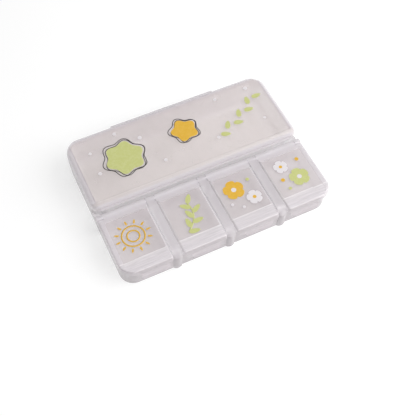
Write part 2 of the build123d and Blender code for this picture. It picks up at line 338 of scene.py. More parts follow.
@dataclass(frozen=True)
class FrostedPlastic:
    """Milky see-through polypropylene with a fine moulded grain, with light and shade painted into its
    colour by which way a face looks.

    Attributes:
        name: name of the material.
        panel: colour of thin faces that look up.
        side: colour of upright walls outside, painted as a lit and shaded copy of the plastic: darker than
            the panels on the tray and the rods as shade, lighter on the lids as light.
        inside: colour of upright walls inside; on the tray it is painted lighter than the outside, as
            light that lifts their shade.
        rim: colour of rounded edges and of thick ledges: milkier where the plastic is thick, and on the
            lids and rods lighter, as a painted highlight on the edges.
        cloud: colour of the faint milky clouds.
        panel_veil: how solid thin faces that look up are.
        side_veil: how solid upright walls are on the inside.
        outer_veil: how solid upright walls are on the outside.
        under_veil: how solid faces that look down are.
        rim_veil: how solid rounded edges and thick ledges are.
        roughness: how matt the surface is.
        ledge: heights between which faces that look up turn from panel into ledge, in metres.
        rail: colour of the thick front rail.
        flap_shade: colour of the rail's upright front face, painted darker than the rail's top as shade.
        rail_veil: how solid the rail is.
        rail_rear: the Y in front of which the plastic is as thick as a rail, in metres.
        frame: colour where a lid lies over the walls of the tray.
        frame_veil: how solid the frame is.
        frame_field: the panel inside the frame: half its length, its front and its rear, in metres.
        frame_line: colour of a thin darker line painted along the inside of the frame.
        frame_line_span: how far outside the panel that line lies and how far it fades, in metres.
        painted_highlight: colour of the thin highlight lines painted on edges that look up.
        highlight_lines: the Y of each painted highlight line, in metres.
        highlight_reach: how far such a line fades to either side, in metres.
        gap: colour painted on the faces in the narrow gaps around the front lids, as the light that falls
            there.
        gap_low: height above which these faces lie, in metres.
        gap_half: half the length within which they lie, in metres.
        gap_clear: how much clearer than the rest these faces are.
        trough: the span in Y of the faces in the spine's trough, in metres.
        trough_edge: width over which that span starts and ends, in metres.
        edge: width over which one zone turns into the next, in metres.
        forward: share of the stopped light that goes on through the plastic.
        gloss: how strong the smooth skin of the moulding is.
        gloss_roughness: how matt that skin is.
        cloud_size: size of the milky clouds in metres.
        cloud_tint: how strongly the clouds colour the plastic.
        cloud_veil: how much they change how solid it is.
        flow_size: size of the flow marks in metres.
        flow_matt: how much they change how matt the surface is.
        streak_size: width of the painted sheen streaks along the rail in metres.
        streak_run: how many times as long as wide the sheen streaks are.
        streak_tint: cover of the rail's colour between the sheen streaks, and what the painted sheen adds
            on them.
        streak_veil: how much they change how solid the rail is.
        grain_size: size of the moulded grain in metres.
        grain_height: height of the moulded grain in metres.
        grain_strength: how strongly it bends the light.
        grain_matt: how much it changes how matt the surface is.
        refraction: refractive index.
    """

    name: str
    panel: Colour
    side: Colour
    inside: Colour
    rim: Colour
    cloud: Colour
    panel_veil: float
    side_veil: float
    outer_veil: float
    under_veil: float
    rim_veil: float
    roughness: float
    ledge: Spot = (1.0, 2.0)
    rail: Colour = (0.8, 0.8, 0.8, 1.0)
    flap_shade: Colour = (0.7, 0.7, 0.7, 1.0)
    rail_veil: float = 0.5
    rail_rear: float = -1.0
    frame: Colour = (0.6, 0.6, 0.6, 1.0)
    frame_veil: float = 0.5
    frame_field: tuple[float, float, float] = (1.0, -1.0, 1.0)
    frame_line: Colour = (0.5, 0.5, 0.5, 1.0)
    frame_line_span: Spot = (0.15 * MM, 0.35 * MM)
    painted_highlight: Colour = (0.8, 0.8, 0.8, 1.0)
    highlight_lines: tuple[float, ...] = ()
    highlight_reach: float = 0.4 * MM
    # Painted light: near white in the narrow gaps.
    gap: Colour = (0.93, 0.9, 0.93, 1.0)
    gap_low: float = 5.0 * MM
    gap_half: float = 44.0 * MM
    gap_clear: float = 0.75
    trough: Spot = (-4.4 * MM, -0.6 * MM)
    trough_edge: float = 0.1 * MM
    edge: float = 0.3 * MM
    forward: float = 0.78
    gloss: float = 0.6
    gloss_roughness: float = 0.1
    cloud_size: float = 14 * MM
    cloud_tint: float = 0.4
    cloud_veil: float = 0.12
    flow_size: float = 3.2 * MM
    flow_matt: float = 0.14
    streak_size: float = 0.7 * MM
    streak_run: float = 12.5
    streak_tint: Spot = (0.55, 0.6)
    streak_veil: float = 0.5
    grain_size: float = 0.35 * MM
    grain_height: float = 0.012 * MM
    grain_strength: float = 0.35
    grain_matt: float = 0.1
    refraction: float = 1.49

    def zones(self, bench: Bench, at: SurfacePoint) -> MouldingZones:
        """Work out which zone of the moulding a point lies in.

        Args:
            bench: where the nodes are added.
            at: the point.

        Returns:
            A mask for each zone.
        """
        low, high = self.ledge
        raised = ((at.height - low) / (high - low)).share()
        tilt = at.facing.most(0.0)
        flat = tilt ** 6.0
        downward = (0.0 - at.facing).most(0.0) ** 2.0
        outward = at.sideways * at.width / HALF_LENGTH + at.frontal * at.depth / HALF_DEPTH
        half, front, rear = self.frame_field
        beside = (at.width.size() - half).most(at.depth - rear)
        outside = beside.most(front - at.depth)
        high_up = ((at.height - self.gap_low) / self.edge).share()
        between = ((self.gap_half - at.width.size()) / self.edge).share()
        trough_front, trough_rear = self.trough
        sunk = ((at.depth - trough_front).least(trough_rear - at.depth) / self.trough_edge).share()
        stretch = (1 / self.streak_run, 1.0, 1.0)
        along = bench.wire("ShaderNodeMapping", None, {"Vector": at.place, "Scale": stretch})
        return MouldingZones(
            flat=flat,
            thin=flat * (1.0 - raised),
            rim=((tilt - flat) * 1.6 + flat * raised).least(1.0),
            downward=downward,
            outer=(outward * 4.0).share(),
            railed=((self.rail_rear - at.depth) / self.edge).share() * (1.0 - downward),
            framed=(outside / self.edge).share() * flat,
            # A thin darker line painted along the inside of the frame.
            frame_lined=beside.peak(*self.frame_line_span) * flat,
            # Faces in the narrow gaps and the spine's trough, which are painted with the light that falls
            # there.
            gap=high_up * (at.sideways ** 4.0 * between).most(at.frontal ** 4.0 * sunk),
            # Thin highlight lines painted on edges that look up.
            lines=tuple(at.depth.peak(line, self.highlight_reach) * tilt for line in self.highlight_lines),
            milk=bench.noise(at.place, self.cloud_size, 3.0),
            # Streaks that carry painted sheen along the rail.
            sheen_streak=bench.noise(along, self.streak_size, 3.0, 0.6),
        )

    def colour(self, bench: Bench, zone: MouldingZones) -> Wire:
        """Mix the colour of the plastic, one zone over the other, with painted light and shade in several
        zones.

        Args:
            bench: where the nodes are added.
            zone: the masks of the zones.

        Returns:
            The colour.
        """
        # Upright walls: painted shade on the tray's outside, painted light on its inside and on the lids'
        # walls.
        shade = bench.blend(zone.outer, self.inside, self.side)
        # The rail's upright front face is painted darker than its top, as shade.
        rail = bench.blend(zone.flat, self.flap_shade, self.rail)
        plain, more = self.streak_tint
        layers: list[tuple[Wire, Any]] = [
            (zone.thin, self.panel),
            # Rounded edges and thick ledges: milkier plastic, with a painted highlight where the rim
            # colour is lighter.
            (zone.rim, self.rim),
            # Painted sheen in streaks along the rail.
            (zone.railed * (plain + zone.sheen_streak * more).least(1.0), rail),
            (zone.framed, self.frame),
            # A thin darker line painted along the inside of the frame.
            (zone.frame_lined, self.frame_line),
            # Thin painted highlight lines.
            *((line, self.painted_highlight) for line in zone.lines),
            # Painted light in the narrow gaps.
            (zone.gap, self.gap),
            (zone.milk * self.cloud_tint * (1.0 - zone.gap), self.cloud),
        ]
        for share, tone in layers:
            shade = bench.blend(share, shade, tone)
        return shade

    def veil(self, zone: MouldingZones) -> Wire:
        """Work out how much of what lies behind the plastic covers.

        Args:
            zone: the masks of the zones.

        Returns:
            The covered share.
        """
        wall = self.side_veil + zone.outer * (self.outer_veil - self.side_veil)
        cover = (
            wall
            + zone.thin * (self.panel_veil - wall)
            + zone.rim * (self.rim_veil - wall)
            + zone.downward * (self.under_veil - wall)
            + (zone.milk - 0.5) * self.cloud_veil
        )
        streaked = self.rail_veil - cover + (zone.sheen_streak - 0.5) * self.streak_veil
        cover = cover + zone.railed * streaked
        cover = cover + zone.framed.most(zone.frame_lined) * (self.frame_veil - cover)
        return cover * (1.0 - zone.gap * self.gap_clear)

    def material(self) -> bpy.types.Material:
        """Build the node material.

        Returns:
            The material.
        """
        made, bench = new_material(self.name)
        at = SurfacePoint.read(bench)
        zone = self.zones(bench, at)
        flow = bench.noise(at.place, self.flow_size, 4.0, 0.6)
        grain = bench.noise(at.place, self.grain_size, 2.0, 0.6)
        passing = bench.rays("Shadow", "Diffuse") * (self.forward + zone.gap * (1.0 - self.forward))
        matt = self.roughness + (flow - 0.5) * self.flow_matt + (grain - 0.5) * self.grain_matt
        shader = bench.node(
            "ShaderNodeBsdfPrincipled",
            None,
            {
                "Base Color": self.colour(bench, zone),
                "Roughness": matt,
                "Normal": bench.bump(self.grain_strength, self.grain_height, grain + flow * 2.0),
                "Alpha": self.veil(zone) * (1.0 - passing),
                "IOR": self.refraction,
                "Coat Weight": self.gloss,
                "Coat Roughness": self.gloss_roughness,
            },
        )
        bench.show(shader)
        return made


class InkTone(Enum):
    """The inks of the prints: name of the record's slot, colour and worn colour."""

    AMBER = ("print_amber", "d9aa30", "e2b850")
    GREEN = ("print_green", "bfc37c", "cacd94")
    WHITE = ("print_white", "dfdadd", "d4cfd3")
    LINE = ("print_line", "2c2826", "46403e")


@dataclass(frozen=True)
class PrintInk:
    """Pad-printed ink with a slightly uneven cover.

    Attributes:
        tone: which ink it is.
        roughness: how matt it is.
        wear_size: size of its worn patches in metres.
        speck_size: size of its specks in metres.
        speck_height: height of its specks in metres.
    """

    tone: InkTone
    roughness: float = 0.42
    wear_size: float = 1.1 * MM
    speck_size: float = 0.16 * MM
    speck_height: float = 0.006 * MM

    def material(self) -> bpy.types.Material:
        """Build the node material.

        Returns:
            The material.
        """
        slot, full, worn = self.tone.value
        made, bench = new_material(slot)
        place = Wire(bench, bench.node("ShaderNodeTexCoord").outputs["Object"])
        wear = bench.noise(place, self.wear_size, 4.0, 0.65)
        speck = bench.noise(place, self.speck_size)
        share = (wear - 0.42).most(0.0) * 2.2
        sockets = {
            "Base Color": bench.blend(share.least(1.0), linear(full), linear(worn)),
            "Roughness": self.roughness + (speck - 0.5) * 0.16,
            "Normal": bench.bump(0.3, self.speck_height, wear + speck * 0.5),
        }
        bench.show(bench.node("ShaderNodeBsdfPrincipled", None, sockets))
        return made


@dataclass(frozen=True)
class StudioWhite:
    """Plain white of the floor: white to the camera, a plain pale surface to the light.

    Attributes:
        name: name of the material.
        paper: its colour.
        fleck: colour of its faint flecks.
        fleck_size: their size in metres.
        lift: how much brighter it is to the camera.
    """

    name: str = "studio_white"
    paper: Colour = (0.93, 0.93, 0.93, 1.0)
    fleck: Colour = (0.9, 0.9, 0.9, 1.0)
    fleck_size: float = 40 * MM
    lift: float = 0.12

    def material(self) -> bpy.types.Material:
        """Build the node material.

        Returns:
            The material.
        """
        made, bench = new_material(self.name)
        place = Wire(bench, bench.node("ShaderNodeTexCoord").outputs["Object"])
        colour = bench.blend(bench.noise(place, self.fleck_size) * 0.2, self.paper, self.fleck)
        shader = bench.node("ShaderNodeBsdfDiffuse", None, {"Color": colour})
        glow = bench.node("ShaderNodeEmission", None, {"Strength": bench.rays("Camera") * self.lift})
        both = bench.node("ShaderNodeAddShader", None, {0: shader.outputs[0], 1: glow.outputs[0]})
        bench.show(both)
        return made


class MotifTree:
    """A Geometry Nodes tree with named inputs that draws one kind of printed shape."""

    def __init__(self, name: str, inputs: dict[str, str], path: bool = False) -> None:
        """Make the tree.

        Args:
            name: name of the tree.
            inputs: socket type of each named input.
            path: whether the shape follows a curve that is handed in.
        """
        self.tree = bpy.data.node_groups.new(name, "GeometryNodeTree")
        self.bench = Bench(self.tree)
        face = self.tree.interface
        if path:
            face.new_socket("Path", in_out="INPUT", socket_type="NodeSocketGeometry")
        for title, kind in inputs.items():
            face.new_socket(title, in_out="INPUT", socket_type=kind)
        face.new_socket("Shape", in_out="OUTPUT", socket_type="NodeSocketGeometry")
        self.source = self.bench.node("NodeGroupInput")

    def value(self, name: str) -> Wire:
        """Return a named input as a wire."""
        return Wire(self.bench, self.source.outputs[name])

    def close(self, shape: bpy.types.NodeSocket) -> None:
        """End the tree: make instances real, set the ink and hand the shape out.

        Args:
            shape: the geometry to hand out.
        """
        real = self.bench.node("GeometryNodeRealizeInstances", None, {0: shape})
        sockets = {"Geometry": real.outputs[0], "Material": self.value("Ink")}
        inked = self.bench.node("GeometryNodeSetMaterial", None, sockets)
        self.bench.node("NodeGroupOutput", None, {0: inked.outputs[0]})

    def grow(self, values: dict[str, Any], base: Optional[bpy.types.ID] = None) -> bpy.types.Mesh:
        """Run the tree and return its result as a plain mesh.

        Args:
            values: a value for each named input.
            base: the curve that the shape follows, where it follows one.

        Returns:
            The finished mesh.
        """
        carrier = stand("motif", base or bpy.data.meshes.new("motif"))
        modifier = carrier.modifiers.new("motif", "NODES")
        modifier.node_group = self.tree
        for item in self.tree.interface.items_tree:
            if item.in_out == "INPUT" and item.name in values:
                modifier[item.identifier] = values[item.name]
        graph = bpy.context.evaluated_depsgraph_get()
        mesh = bpy.data.meshes.new_from_object(carrier.evaluated_get(graph))
        bpy.data.objects.remove(carrier)
        return mesh


def disc(tree: MotifTree, corners: int, radius: Term) -> bpy.types.NodeSocket:
    """Draw a flat disc of the tree's thickness."""
    sockets = {"Vertices": corners, "Radius": radius, "Depth": tree.value("Thickness")}
    return tree.bench.node("GeometryNodeMeshCylinder", {"fill_type": "NGON"}, sockets).outputs["Mesh"]


def petal(tree: MotifTree) -> bpy.types.NodeSocket:
    """Draw one flat petal that points along +X from its root at the origin.

    Args:
        tree: a tree with the inputs Length, Width, Taper and Thickness.

    Returns:
        The petal's geometry.
    """
    bench = tree.bench
    along, across, height = bench.split(bench.wire("GeometryNodeInputPosition"))
    reach = (along + 1.0) * 0.5 * tree.value("Length")
    spread = across * 0.5 * tree.value("Width") * (1.0 + along * tree.value("Taper"))
    sockets = {"Geometry": disc(tree, PETAL_CORNERS, 1.0), "Position": bench.vector(reach, spread, height)}
    return bench.node("GeometryNodeSetPosition", None, sockets).outputs[0]


def turned(bench: Bench, angle: Term) -> bpy.types.NodeSocket:
    """Return a rotation about Z."""
    return bench.node("FunctionNodeEulerToRotation", None, {0: bench.vector(0.0, 0.0, angle)}).outputs[0]


def petals_on(tree: MotifTree, points: bpy.types.NodeSocket, angle: Term) -> bpy.types.NodeSocket:
    """Put a petal on each point, a little above the one before, so that no two lie in one plane.

    Args:
        tree: a tree with the inputs of a petal and the input Stagger.
        points: the points that carry the petals.
        angle: how far each petal is turned about Z, in radians.

    Returns:
        The petals.
    """
    bench = tree.bench
    rise = bench.wire("GeometryNodeInputIndex") * tree.value("Stagger")
    lifted = {"Geometry": points, "Offset": bench.vector(0.0, 0.0, rise)}
    raised = bench.node("GeometryNodeSetPosition", None, lifted)
    sockets = {"Points": raised.outputs[0], "Instance": petal(tree), "Rotation": turned(bench, angle)}
    return bench.node("GeometryNodeInstanceOnPoints", None, sockets).outputs[0]


SOCKET_KINDS = ("Float", "Int", "Vector", "Material")
FLOAT, INTEGER, VECTOR, MATERIAL = (f"NodeSocket{kind}" for kind in SOCKET_KINDS)
PETAL_SIZES = ("Length", "Width", "Taper", "Thickness", "Stagger")
PETAL_INPUTS = {**dict.fromkeys(PETAL_SIZES, FLOAT), "Ink": MATERIAL}
STEM = ("Start", "Middle", "End")
STEM_STEPS = 24
PETAL_CORNERS = 24
CIRCLE_CORNERS = 96
SMALL_CORNERS = 24
DOT_CORNERS = 16
DOT_SCALES = (0.7, 1.25)
CLEAR = ("Clear A", "Clear B", "Clear C")


def petal_ring_tree() -> MotifTree:
    """Petals or rays around a centre.

    Returns:
        The tree.
    """
    tree = MotifTree(
        "petal_ring", {"Count": INTEGER, "Ring": FLOAT, "Turn": FLOAT, "Centre": VECTOR, **PETAL_INPUTS}
    )
    bench = tree.bench
    ring = bench.node("GeometryNodeMeshCircle", None, {0: tree.value("Count"), 1: tree.value("Ring")})
    angle = bench.wire("GeometryNodeInputIndex") * math.tau / tree.value("Count")
    moved = bench.node(
        "GeometryNodeTransform",
        None,
        {
            "Geometry": petals_on(tree, ring.outputs[0], angle),
            "Translation": tree.value("Centre"),
            "Rotation": turned(bench, tree.value("Turn")),
        },
    )
    tree.close(moved.outputs[0])
    return tree


def leaf_row_tree() -> MotifTree:
    """Leaves that stand left and right of a bent stem.

    Returns:
        The tree.
    """
    ends = {name: VECTOR for name in STEM}
    tree = MotifTree("leaf_row", {**ends, "Count": INTEGER, "Splay": FLOAT, **PETAL_INPUTS})
    bench = tree.bench
    bends = {name: tree.value(name) for name in STEM}
    stem = bench.node("GeometryNodeCurveQuadraticBezier", None, {"Resolution": STEM_STEPS, **bends})
    sockets = {"Curve": stem.outputs[0], "Count": tree.value("Count")}
    points = bench.node("GeometryNodeCurveToPoints", {"mode": "COUNT"}, sockets)
    east, north, _ = bench.split(points.outputs["Tangent"])
    side = bench.wire("GeometryNodeInputIndex") % 2.0 * 2.0 - 1.0
    angle = north.atan2(east) + side * tree.value("Splay")
    tree.close(petals_on(tree, points.outputs["Points"], angle))
    return tree


def dot_field_tree() -> MotifTree:
    """Scattered dots that keep clear of three motifs.

    Returns:
        The tree.
    """
    tree = MotifTree(
        "dot_field",
        {
            "Field": VECTOR,
            "Centre": VECTOR,
            "Spacing": FLOAT,
            "Seed": INTEGER,
            "Radius": FLOAT,
            "Thickness": FLOAT,
            **{name: VECTOR for name in CLEAR},
            "Room": FLOAT,
            "Ink": MATERIAL,
        },
    )
    bench = tree.bench
    length, depth, _ = bench.split(tree.value("Field"))
    sheet = bench.node("GeometryNodeMeshGrid", None, {0: length, 1: depth, 2: 2, 3: 2})
    moved = bench.node(
        "GeometryNodeTransform", None, {"Geometry": sheet.outputs[0], "Translation": tree.value("Centre")}
    )
    scattered = bench.node(
        "GeometryNodeDistributePointsOnFaces",
        {"distribute_method": "POISSON"},
        {
            "Mesh": moved.outputs[0],
            "Distance Min": tree.value("Spacing"),
            "Density Max": 1.0e5,
            "Seed": tree.value("Seed"),
        },
    )
    place = bench.wire("GeometryNodeInputPosition")
    clear = [
        bench.wire(
            "ShaderNodeVectorMath", {"operation": "DISTANCE"}, {0: place, 1: tree.value(name)}, "Value"
        )
        for name in CLEAR
    ]
    kept = bench.wire(
        "FunctionNodeCompare",
        {"data_type": "FLOAT", "operation": "GREATER_THAN"},
        {0: clear[0].least(clear[1]).least(clear[2]), 1: tree.value("Room")},
    )
    small, large = DOT_SCALES
    sizes = {2: small, 3: large, "Seed": tree.value("Seed")}
    scale = bench.wire("FunctionNodeRandomValue", {"data_type": "FLOAT"}, sizes, 1)
    placed = bench.node(
        "GeometryNodeInstanceOnPoints",
        None,
        {
            "Points": scattered.outputs["Points"],
            "Selection": kept,
            "Instance": disc(tree, DOT_CORNERS, tree.value("Radius")),
            "Scale": bench.vector(scale, scale, 1.0),
        },
    )
    tree.close(placed.outputs[0])
    return tree


def stroke_tree() -> MotifTree:
    """A printed line of even width along a path.

    Returns:
        The tree.
    """
    tree = MotifTree("ink_stroke", {"Width": FLOAT, "Thickness": FLOAT, "Ink": MATERIAL}, path=True)
    bench = tree.bench
    upright = bench.node("GeometryNodeSetCurveNormal", {"mode": "Z_UP"}, {"Curve": tree.value("Path")})
    section = bench.node(
        "GeometryNodeCurvePrimitiveQuadrilateral",
        {"mode": "RECTANGLE"},
        {"Width": tree.value("Width"), "Height": tree.value("Thickness")},
    )
    ribbon = bench.node(
        "GeometryNodeCurveToMesh",
        None,
        {"Curve": upright.outputs[0], "Profile Curve": section.outputs[0], "Fill Caps": True},
    )
    tree.close(ribbon.outputs[0])
    return tree


def path_curve(spots: list[Spot], height: float, closed: bool) -> bpy.types.Curve:
    """Make a plain curve through points.

    Args:
        spots: the points in metres.
        height: their height in metres.
        closed: whether the last point joins the first.

    Returns:
        The curve.
    """
    curve = bpy.data.curves.new("path", "CURVE")
    curve.dimensions = "3D"
    spline = curve.splines.new("POLY")
    spline.points.add(len(spots) - 1)
    for point, (x, y) in zip(spline.points, spots):
        point.co = (x, y, height, 1.0)
    spline.use_cyclic_u = closed
    return curve


def circle(
    centre: Spot, radius: Union[float, Callable[[float], float]], corners: int = CIRCLE_CORNERS
) -> list[Spot]:
    """Return the corners of a round outline.

    Args:
        centre: its middle.
        radius: its radius, or a function that gives it for an angle.
        corners: how many corners are returned.

    Returns:
        The outline's corners.
    """
    spots = []
    for step in range(corners):
        angle = math.tau * step / corners
        reach = radius(angle) if callable(radius) else radius
        spots.append((centre[0] + reach * math.cos(angle), centre[1] + reach * math.sin(angle)))
    return spots


class InkSheet:
    """Collects the printed shapes of one ink on one lid and makes them one piece."""

    def __init__(self, name: str, ink: bpy.types.Material, top: float, lift: float) -> None:
        """Start an empty sheet.

        Args:
            name: name of the piece.
            ink: its material.
            top: height of the lid's panel in metres.
            lift: how far the ink stands above the panel in metres.
        """
        self.name = name
        self.ink = ink
        self.root = 0.02 * MM
        self.stagger = 0.003 * MM
        self.thickness = lift + self.root
        self.middle = top - self.root + self.thickness / 2
        self.parts: list[bpy.types.Mesh] = []

    def plate(self, outline: list[Spot], rise: float = 0.0) -> None:
        """Add a filled shape.

        Args:
            outline: its points in metres.
            rise: how far it is printed above the other shapes, in metres.
        """
        shape = bmesh.new()
        low = self.middle - self.thickness / 2 + rise
        face = shape.faces.new([shape.verts.new((x, y, low)) for x, y in outline])
        raised = bmesh.ops.extrude_face_region(shape, geom=[face])
        tops = [item for item in raised["geom"] if isinstance(item, bmesh.types.BMVert)]
        bmesh.ops.translate(shape, verts=tops, vec=(0, 0, self.thickness))
        bmesh.ops.recalc_face_normals(shape, faces=shape.faces)
        mesh = bpy.data.meshes.new("plate")
        shape.to_mesh(mesh)
        shape.free()
        self.parts.append(mesh)

    def grow(self, tree: MotifTree, values: dict[str, Any], base: Optional[bpy.types.ID] = None) -> None:
        """Add a shape that a tree draws; its thickness and ink are this sheet's."""
        sizes = {"Thickness": self.thickness, "Stagger": self.stagger, "Ink": self.ink}
        self.parts.append(tree.grow({**sizes, **values}, base))

    def at(self, spot: Spot) -> tuple[float, float, float]:
        """Return a place in the middle of this sheet's ink."""
        return (spot[0], spot[1], self.middle)

    def piece(self) -> bpy.types.Object:
        """Join all shapes into one object.

        Returns:
            The object.
        """
        joined = bmesh.new()
        for part in self.parts:
            joined.from_mesh(part)
            bpy.data.meshes.remove(part)
        bmesh.ops.recalc_face_normals(joined, faces=joined.faces)
        mesh = bpy.data.meshes.new(self.name)
        joined.to_mesh(mesh)
        joined.free()
        mesh.materials.clear()
        mesh.materials.append(self.ink)
        return stand(self.name, mesh)


@dataclass
class MotifTrees:
    """The Geometry Nodes trees that the prints share.

    Attributes:
        ring: petals or rays around a centre.
        leaves: leaves along a stem.
        dots: scattered dots.
        stroke: a line of even width.
    """

    ring: MotifTree = field(default_factory=petal_ring_tree)
    leaves: MotifTree = field(default_factory=leaf_row_tree)
    dots: MotifTree = field(default_factory=dot_field_tree)
    stroke: MotifTree = field(default_factory=stroke_tree)


@dataclass
class Finishes:
    """All materials of the object, made once.

    Attributes:
        tray: plastic of the tray.
        rear_lid: plastic of the full-length lid.
        front_lid: plastic of the four front lids.
        rod: plastic of the hinge rods.
        inks: the inks of the prints.
    """

    tray: bpy.types.Material
    rear_lid: bpy.types.Material
    front_lid: bpy.types.Material
    rod: bpy.types.Material
    inks: dict[InkTone, bpy.types.Material]

    @classmethod
    def mixed(cls) -> "Finishes":
        """Mix every finish.

        Returns:
            All materials.
        """
        tray = FrostedPlastic(
            "frosted_tray",
            panel=linear("d0c5c2"),
            # The outside of the walls is painted darker than the panels as shade, the inside lighter as
            # light.
            side=linear("a9a0a5"),
            inside=linear("dcd4d8"),
            rim=linear("ccc5ca"),
            cloud=linear("dcd6da"),
            panel_veil=0.3,
            side_veil=0.55,
            outer_veil=0.82,
            under_veil=0.14,
            rim_veil=0.6,
            roughness=0.34,
            ledge=(5 * MM, 8 * MM),
            gap_clear=0.45,
        )
        lid = FrostedPlastic(
            "frosted_lid",
            panel=linear("dbd0ce"),
            # The lid's walls are painted lighter than its panels as light, and its rounded edges lighter
            # as a painted highlight.
            side=linear("f4f0f4"),
            inside=linear("f4f0f4"),
            rim=linear("e6e0e6"),
            cloud=linear("d2c8c8"),
            panel_veil=0.37,
            side_veil=0.62,
            outer_veil=0.62,
            under_veil=0.13,
            rim_veil=0.55,
            roughness=0.3,
        )
        rear_lid = replace(
            lid,
            frame=linear("d8d2d7"),
            frame_veil=0.55,
            frame_field=(43.75 * MM, -0.7 * MM, 30.8 * MM),
            # A thin darker line is painted along the inside of the frame.
            frame_line=linear("a59ca6"),
            # A dim cream highlight is painted in a band along the front edge.
            painted_highlight=linear("cfc5c1"),
            highlight_lines=(-0.8 * MM, -1.2 * MM, -1.6 * MM, -2.0 * MM),
            # The faces in the spine's trough get their own painted tone, for the light that falls there.
            gap=linear("e0d9df"),
            gap_clear=0.0,
        )
        front_lid = replace(
            lid,
            name="frosted_front_lid",
            panel=linear("d3cacd"),
            rim=linear("dcd6dc"),
            panel_veil=0.44,
            ledge=(11.85 * MM, 12.1 * MM),
            rail=linear("dcd7dc"),
            # The rail's upright front face is painted darker than its top, as shade.
            flap_shade=linear("bfb7bc"),
            rail_veil=0.58,
            rail_rear=-28.45 * MM,
            # Thin highlights are painted along the rail's edges.
            painted_highlight=linear("fbf7f9"),
            highlight_lines=(-28.8 * MM, -33.9 * MM),
        )
        rod = FrostedPlastic(
            "hinge_rod",
            # Rounded faces are painted a little lighter and upright ones a little darker, as light and
            # shade.
            panel=linear("d8d5da"),
            side=linear("d4d0d8"),
            inside=linear("d4d0d8"),
            rim=linear("dcd9e0"),
            cloud=linear("e0dde2"),
            panel_veil=0.8,
            side_veil=0.8,
            outer_veil=0.8,
            under_veil=0.8,
            rim_veil=0.8,
            roughness=0.4,
            forward=1.0,
        )
        inks = {tone: PrintInk(tone).material() for tone in InkTone}
        return cls(tray.material(), rear_lid.material(), front_lid.material(), rod.material(), inks)


def dress(node: str, material: bpy.types.Material) -> None:
    """Give a solid its material.

    Args:
        node: name of the solid.
        material: the material for all of it.
    """
    mesh = frame["nodes"][node].data
    mesh.materials.clear()
    mesh.materials.append(material)
    LOG.info("dressed %s in %s", node, material.name)


@dataclass
class Tray:
    """The moulded tray with its two hinge rods.

    Attributes:
        shell: name of the tray's solid.
        rods: names of the rods' solids.
    """

    shell: str = "base_tray"
    rods: tuple[str, ...] = ("front_hinge_rod", "rear_hinge_rod")

    def build(self, finishes: Finishes) -> None:
        """Dress the tray and the rods.

        Args:
            finishes: the materials.
        """
        dress(self.shell, finishes.tray)
        for rod in self.rods:
            dress(rod, finishes.rod)


@dataclass
class PrintedLid:
    """A lid whose panel carries prints.

    Attributes:
        finishes: the materials.
        trees: the shared trees.
        node: name of the lid's solid and body.
        lift: how far the ink stands above the panel, in metres.
        stroke_width: width of a printed line in metres.
        recess: how far the printed panel lies below the lid's highest edge, in metres.
        leaves: how many leaves a stem carries.
        sheets: the inks in use so far.
    """

    finishes: Finishes
    trees: MotifTrees
    node: str
    lift: float = 0.04 * MM
    stroke_width: float = 0.62 * MM
    recess: float = 0.0
    leaves: int = 7
    sheets: dict[InkTone, InkSheet] = field(default_factory=dict)

    def panel(self) -> tuple[Vector, Vector]:
        """Return the lid's lowest and highest corners."""
        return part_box(self.node)

    def sheet(self, tone: InkTone) -> InkSheet:
        """Return the ink sheet of one tone, made when it is first asked for.

        Args:
            tone: the ink.

        Returns:
            Its sheet.
        """
        if tone not in self.sheets:
            name = f"{self.node}_{tone.value[0]}"
            top = self.panel()[1].z - self.recess
            self.sheets[tone] = InkSheet(name, self.finishes.inks[tone], top, self.lift)
        return self.sheets[tone]

    def line(self, sheet: InkSheet, spots: list[Spot], closed: bool, width: float) -> None:
        """Print a line through points.

        Args:
            sheet: the ink that it is printed in.
            spots: its points in metres.
            closed: whether it ends where it starts.
            width: its width in metres.
        """
        path = path_curve(spots, sheet.middle - sheet.stagger, closed)
        sheet.grow(self.trees.stroke, {"Width": width}, path)
        bpy.data.curves.remove(path)

    def leaf_row(self, sheet: InkSheet, stem: tuple[Spot, ...], leaf: dict[str, float]) -> None:
        """Print leaves along a bent stem.

        Args:
            sheet: the ink that they are printed in.
            stem: start, bend and end of the stem in metres.
            leaf: length, width, taper and splay of a leaf.
        """
        bends = dict(zip(STEM, map(sheet.at, stem)))
        sheet.grow(self.trees.leaves, {**bends, "Count": self.leaves, **leaf})

    def finish(self, plastic: bpy.types.Material) -> None:
        """Dress the lid and let the prints ride on it.

        Args:
            plastic: the lid's material.
        """
        dress(self.node, plastic)
        for tone, sheet in self.sheets.items():
            piece = sheet.piece()
            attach(piece, self.node)
            LOG.info("printed %s with %d faces", piece.name, len(piece.data.polygons))


@dataclass(frozen=True)
class LooseBlossom:
    """A filled blossom that loose outlines are drawn around.

    Attributes:
        centre: its middle in metres.
        radius: its mean radius in metres.
        lobes: how many lobes it has.
        depth: how far the lobes stand out, as a share of the radius.
        turn: how far it is turned, in radians.
    """

    centre: Spot
    radius: float
    lobes: int
    depth: float
    turn: float

    def outline(self, shift: float = 0.0, grow: float = 1.0) -> list[Spot]:
        """Return its outline.

        Args:
            shift: how far the outline is moved off the blossom, in millimetres.
            grow: how many times as large as the blossom it is.

        Returns:
            The outline's points.
        """
        x, y = self.centre
        turn = self.turn + shift * 0.12

        def reach(angle: float) -> float:
            """Return the radius in one direction."""
            return self.radius * grow * (1 + self.depth * math.cos(self.lobes * (angle - turn)))

        return circle((x + shift * MM, y - shift * 0.6 * MM), reach)


